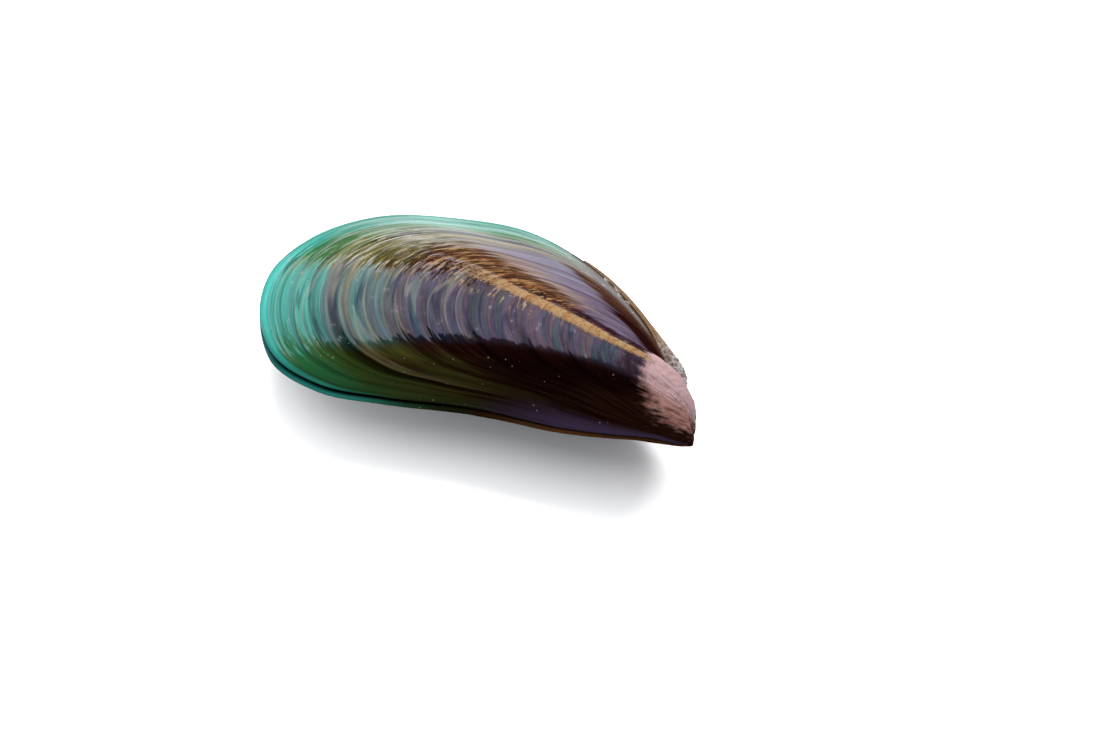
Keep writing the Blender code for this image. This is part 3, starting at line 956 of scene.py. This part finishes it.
def flank_lines(nodes, fields, colours, colour, seed):
    """Thin blue and cream lines and a little pale crust on the flank under the keel."""
    flank = nodes.between(fields.around, (0.36, 0.39), (0.55, 0.49))
    flank = nodes.times(flank, nodes.less(1.0, fields.worn))
    fields.etched = nodes.times(thin_lines(nodes, fields, 38.0, seed + 2.1), flank)
    colour = nodes.mix(nodes.times(fields.etched, 0.5), colour, colours.slate)
    raised = nodes.times(thin_lines(nodes, fields, 24.0, seed + 2.7), flank)
    raised = nodes.times(raised, nodes.ease(fields.stage, 0.50, 0.62), 0.20)
    colour = nodes.mix(raised, colour, colours.cream)
    crust = nodes.times(nodes.ease(fields.mottle, 0.60, 0.66), nodes.ease(fields.streak, 0.0, 0.07))
    return nodes.mix(nodes.times(crust, flank, 0.30), colour, colours.grit)


def speckled(nodes, fields, colour):
    """Scattered specks, pale on the front half and dark on the rest."""
    specks = nodes.ease(nodes.cells(fields.point, 620.0), 0.13, 0.07)
    fields.specks = nodes.times(specks, nodes.ease(nodes.noise(fields.point, 230.0, 2.0), 0.52, 0.57))
    tone = nodes.mix(nodes.ease(fields.around, 0.37, 0.40), PALE_SPECK, DARK_SPECK)
    return nodes.mix(nodes.times(fields.specks, 0.5), colour, tone)


def skin_normal(nodes, fields):
    """Each growth band leans a little its own way, which frays the edges of what it mirrors."""
    calm = nodes.less(0.7, nodes.ease(fields.around, 0.54, 0.62))
    ridge = nodes.between(fields.around, (0.44, 0.48), (0.58, 0.54))
    fray = nodes.plus(nodes.times(fields.twist, 0.14), 0.14, fields.band)
    fray = nodes.plus(fray, 0.35, nodes.times(fields.fleck, ridge))
    fray = nodes.times(fray, nodes.times(calm, nodes.less(0.65, fields.young)))
    fine = nodes.times(fields.hair, 0.05, calm)
    lean = nodes.vector(nodes.maths("ADD", fray, 0.5), nodes.maths("ADD", fine, 0.5), 1.0)
    normal = nodes.add("ShaderNodeNormalMap", "Normal", {"Color": lean}, uv_map="growth")
    rough = nodes.plus(nodes.times(fields.keel, fields.ragged), 1.0, nodes.times(fields.umbo, fields.mottle))
    lines = nodes.plus(nodes.times(fields.streak, 0.020), 0.004, fields.hair)
    height = nodes.plus(nodes.times(lines, fields.room), 0.30, rough, -0.05, fields.specks)
    return nodes.bump(nodes.plus(height, 0.0015, fields.grain), MM, normal)


def skin_gloss(nodes, fields):
    """How strongly the skin mirrors: less in front, past the keel, at the rim, in grooves and where worn."""
    gloss = nodes.grey_ramp(fields.from_front, GLOSS_PLACES, GLOSS_LEVELS)
    beyond = nodes.plus(fields.past_keel, -0.035, nodes.ease(fields.stage, 0.74, 0.82))
    back = nodes.times(nodes.ease(beyond, 0.0, 0.022), nodes.ease(fields.stage, 0.96, 0.76))
    grooves = nodes.mix(nodes.ease(fields.around, 0.43, 0.38), WHITE, arrest_lines(nodes, fields.stage))
    lip = nodes.ease(fields.stage, 0.88, 0.97)
    rim = nodes.ease(fields.row, OUTER_ROWS - 12, OUTER_ROWS + 3)
    gloss = nodes.times(gloss, nodes.less(1.0, back), grooves, nodes.less(0.4, lip), nodes.less(0.7, rim))
    uneven = nodes.plus(0.6, 0.9, fields.twist, 1.2, fields.band, 0.8, fields.mottle)
    return nodes.times(gloss, uneven, nodes.less(0.40, fields.etched), nodes.less(0.7, fields.worn))


def skin_sheen(nodes, fields, seed):
    """Tint of what the skin mirrors, which changes from band to band."""
    tint = nodes.stretched(fields.around, fields.stage, 4.0, 60.0, seed + 0.4, 2.0)
    tint = nodes.plus(0.5, 1.0, nodes.plus(tint, 0.5, fields.streak))
    return nodes.ramp(nodes.plus(tint, -0.22, nodes.ease(fields.stage, 0.80, 0.90)), SHEEN)


def shell_material(name, side, seed):
    """Glossy skin of a valve: pigments along the growth lines, worn keel, bare umbo, specks, fine lines."""
    colours = bpy.context.scene.mussel_colours
    material, nodes = node_tree(name)
    fields = growth_fields(nodes, seed)
    add_wear(nodes, fields, side)
    colour = ridge_colour(nodes, fields, colours, pigment(nodes, fields, colours, side))
    colour = worn_colour(nodes, fields, colours, keel_flecks(nodes, fields, colours, colour))
    colour = speckled(nodes, fields, flank_lines(nodes, fields, colours, colour, seed))
    roughness = nodes.plus(0.075, 0.40, fields.worn, 0.05, fields.hair, 0.14, fields.young)
    finish = {
        "Base Color": colour,
        "Roughness": roughness,
        "Normal": skin_normal(nodes, fields),
        "IOR": SKIN_IOR,
        "Specular IOR Level": skin_gloss(nodes, fields),
        "Specular Tint": skin_sheen(nodes, fields, seed),
    }
    nodes.fill(nodes.shader, finish)
    return material


def nacre_material():
    """Pearly lining of the valves."""
    colours = bpy.context.scene.mussel_colours
    material, nodes = node_tree("nacre")
    point = nodes.add("ShaderNodeTexCoord", "Object", {})
    cloud = nodes.ease(nodes.noise(point, 90.0, 4.0), 0.35, 0.65)
    colour = nodes.mix(cloud, colours.nacre, NACRE_CLOUD)
    nodes.fill(nodes.shader, {"Base Color": colour, "Roughness": 0.25, "Normal": nodes.bump(cloud, 0.0002)})
    return material


def ligament_route(share):
    """The line along the hinge that the ligament's cord follows, and the way outwards from it."""
    outline = closed_outline(MARGIN, LIGAMENT_ROUTE_POINTS)
    within = (outline[:, 0] > LIGAMENT_FROM_X) & (outline[:, 0] < LIGAMENT_TO_X)
    stretch = inset(outline, -LIGAMENT_OFFSET)[within & (outline[:, 1] > LIGAMENT_FROM_Y)]
    picked = share * (len(stretch) - 1)
    places = np.arange(len(stretch))
    route = np.stack([np.interp(picked, places, stretch[:, axis]) for axis in (0, 1)], axis=1)
    along = np.gradient(route, axis=0)
    along /= np.linalg.norm(along, axis=1)[:, None]
    return route[:, None, :], np.column_stack([-along[:, 1], along[:, 0]])[:, None, :]


def ligament_size(share):
    """The cord's size along its length: thin ends, a slender back half and a swollen front end."""
    taper = LIGAMENT_THIN_END + (1.0 - LIGAMENT_THIN_END) * np.sqrt(np.maximum(np.sin(np.pi * share), 0.0))
    swell = 1.0 + LIGAMENT_SWELL * np.exp(-(((share - LIGAMENT_SWELL_AT) / LIGAMENT_SWELL_LENGTH) ** 2))
    fuller = smooth_step((share - LIGAMENT_SLENDER) / 0.3)
    return taper * swell * (LIGAMENT_SLENDER + (1.0 - LIGAMENT_SLENDER) * fuller)


def ligament_grains(round_cord, along_cord):
    """Height of the cord's grains, from 0 to 1 and a little over."""
    total = 0.0
    for cells_around, cells_along, seed, share in LIGAMENT_GRAINS:
        total = total + share * np.abs(patchy(round_cord, along_cord, cells_around, cells_along, seed))
    return total


def ligament_rows(sizes):
    """Points along the ligament's cord and round it, with its share of the way along."""
    share = np.linspace(0.0, 1.0, LIGAMENT_STATIONS)
    route, outwards = ligament_route(share)
    size = ligament_size(share)[:, None]
    turn = np.linspace(0.0, 1.0, LIGAMENT_SIDES, endpoint=False)[None, :]
    round_cord = np.broadcast_to(turn, (LIGAMENT_STATIONS, LIGAMENT_SIDES))
    along_cord = np.broadcast_to(share[:, None], round_cord.shape)
    angle = 2 * np.pi * turn
    rough_front = smooth_step((along_cord - LIGAMENT_ROUGH_FROM) / 0.2)
    grains = ligament_grains(round_cord, along_cord) * (0.12 + rough_front * sizes.ligament_grain / MM)
    web = smooth_step((-np.cos(angle) - 0.75) / 0.25)
    round_size = (1.0 + grains) * size
    reach = np.cos(angle) * round_size * LIGAMENT_WIDTH + (size - 1.0) * LIGAMENT_WIDTH - web * LIGAMENT_WEB
    height = np.sin(angle) * round_size * LIGAMENT_HEIGHT * (1.0 - 0.9 * web)
    rows = np.concatenate([route + outwards * reach[:, :, None], height[:, :, None]], axis=2)
    return capped(rows), np.concatenate([[0.0], share, [1.0]])


def ligament_material():
    """Dull horn with a rough, gritty front end."""
    colours = bpy.context.scene.mussel_colours
    material, nodes = node_tree("ligament_horn")
    along = growth_place(nodes)[1]
    grain = nodes.noise(nodes.add("ShaderNodeTexCoord", "Object", {}), 900.0, 5.0, 0.65)
    gritty = nodes.times(nodes.ease(along, LIGAMENT_ROUGH_FROM, 0.75), nodes.ease(grain, 0.40, 0.56))
    horn = nodes.mix(nodes.ease(along, 0.62, 0.74), colours.horn, LIGAMENT_FRONT)
    colour = nodes.mix(gritty, horn, colours.grit)
    nodes.fill(nodes.shader, {"Base Color": colour, "Roughness": 0.62, "Normal": nodes.bump(grain, 0.0004)})
    return material


def left_margin(margin):
    """The left valve's margin, whose ventral lip stands out a little past the right valve's."""
    lower = margin.copy()
    lower[:, 1] -= LEFT_LIP * np.clip(-margin[:, 1] / LEFT_LIP_REACH, 0.0, 1.0)
    return lower


class MUSSEL_OT_right_valve(bpy.types.Operator):
    """Makes the upper valve"""

    bl_idname = "mussel.right_valve"
    bl_label = "Right valve"

    def execute(self, context):
        make_valve("right_shell", "right_valve", 1.0, closed_outline(MARGIN, AROUND), 11)
        return {"FINISHED"}


class MUSSEL_OT_left_valve(bpy.types.Operator):
    """Makes the lower valve"""

    bl_idname = "mussel.left_valve"
    bl_label = "Left valve"

    def execute(self, context):
        margin = left_margin(closed_outline(MARGIN, AROUND))
        make_valve("left_shell", "left_valve", -1.0, margin, 37)
        return {"FINISHED"}


class MUSSEL_OT_ligament(bpy.types.Operator):
    """Makes the cord of the ligament along the hinge"""

    bl_idname = "mussel.ligament"
    bl_label = "Ligament"

    def execute(self, context):
        rows, share = ligament_rows(context.scene.mussel_sizes)
        data = wrapped_mesh("hinge_ligament", rows, share, np.ones(rows.shape[:2]))
        data.transform(at_rest())
        closed_up(data)
        show("hinge_ligament", data, (ligament_material(),), "ligament")
        return {"FINISHED"}


class MUSSEL_OT_stage(bpy.types.Operator):
    """Makes the floor, the lights and the camera"""

    bl_idname = "mussel.stage"
    bl_label = "Stage"

    def execute(self, context):
        make_floor(context.scene)
        make_lights(context.scene)
        make_camera(context.scene)
        return {"FINISHED"}


def make_floor(scene):
    """A wide pale floor."""
    mesh = bmesh.new()
    bmesh.ops.create_grid(mesh, x_segments=1, y_segments=1, size=FLOOR_HALF_WIDTH)
    data = bpy.data.meshes.new("floor")
    mesh.to_mesh(data)
    mesh.free()
    floor = bpy.data.objects.new("floor", data)
    scene.collection.objects.link(floor)
    material, nodes = node_tree("pale_floor")
    nodes.fill(nodes.shader, {"Base Color": scene.mussel_studio.floor, "Roughness": 0.9})
    data.materials.append(material)


def soft_light(name, towards, along, distance, size, power):
    """A large soft rectangular light in this direction from the shell, its width laid along another."""
    data = bpy.data.lights.new(name, "AREA")
    data.shape = "RECTANGLE"
    data.size, data.size_y = size
    data.energy = power
    light = bpy.data.objects.new(name, data)
    away = Vector(towards).normalized()
    wide = Vector(along)
    wide = (wide - away * wide.dot(away)).normalized()
    turn = Matrix((wide, away.cross(wide), away)).transposed()
    light.matrix_world = Matrix.Translation(Vector(AIM_AT) + away * distance) @ turn.to_4x4()
    bpy.context.scene.collection.objects.link(light)
    return light


def make_lights(scene):
    """A large soft light from the left and above, one on the floor behind, and an even pale room."""
    studio = scene.mussel_studio
    soft_light("window", WINDOW_TOWARDS, WINDOW_ALONG, WINDOW_DISTANCE, WINDOW_SIZE, studio.key_power)
    back = soft_light("back", BACK_TOWARDS, BACK_ALONG, BACK_DISTANCE, BACK_SIZE, studio.back_power)
    back.visible_glossy = False
    world = bpy.data.worlds.new("room")
    world.cycles_visibility.glossy = False
    world.use_nodes = True
    background = world.node_tree.nodes["Background"]
    background.inputs["Color"].default_value = ROOM_COLOUR
    background.inputs["Strength"].default_value = studio.room
    scene.world = world
    scene.view_settings.view_transform = "Standard"


def make_camera(scene):
    """The camera at the photograph's viewing angle."""
    data = bpy.data.cameras.new("camera")
    data.lens = LENS
    data.clip_start = 0.01
    camera = bpy.data.objects.new("camera", data)
    look = Vector(AIM_AT) - Vector(CAMERA_AT)
    turn = look.to_track_quat("-Z", "Y") @ Quaternion((0.0, 0.0, 1.0), CAMERA_TILT)
    camera.matrix_world = Matrix.Translation(CAMERA_AT) @ turn.to_matrix().to_4x4()
    scene.collection.objects.link(camera)
    scene.camera = camera


class MUSSEL_PT_panel(bpy.types.Panel):
    """Lists the shell's pieces, sizes and colours"""

    bl_idname = "MUSSEL_PT_panel"
    bl_label = "Mussel shell"
    bl_space_type = "VIEW_3D"
    bl_region_type = "UI"
    bl_category = "Mussel"

    def draw(self, context):
        layout = self.layout
        for step in STEPS:
            layout.operator(step.bl_idname)
        for group in (context.scene.mussel_sizes, context.scene.mussel_colours, context.scene.mussel_studio):
            box = layout.box()
            for name in group.bl_rna.properties.keys():
                if name not in ("rna_type", "name"):
                    box.prop(group, name)


STEPS = (MUSSEL_OT_right_valve, MUSSEL_OT_left_valve, MUSSEL_OT_ligament, MUSSEL_OT_stage)
GROUPS = {"mussel_sizes": ShellSizes, "mussel_colours": ShellColours, "mussel_studio": StudioSettings}


def register():
    """Registers the property groups, operators and panel."""
    for name, group in GROUPS.items():
        bpy.utils.register_class(group)
        setattr(bpy.types.Scene, name, bpy.props.PointerProperty(type=group))
    for step in (*STEPS, MUSSEL_PT_panel):
        bpy.utils.register_class(step)


def unregister():
    """Takes everything back that register added."""
    for step in (MUSSEL_PT_panel, *reversed(STEPS)):
        bpy.utils.unregister_class(step)
    for name, group in reversed(GROUPS.items()):
        delattr(bpy.types.Scene, name)
        bpy.utils.unregister_class(group)


def main():
    """Builds the pieces in order."""
    register()
    bpy.ops.mussel.right_valve()
    bpy.ops.mussel.left_valve()
    bpy.ops.mussel.ligament()
    bpy.ops.mussel.stage()


if __name__ == "__main__":
    main()
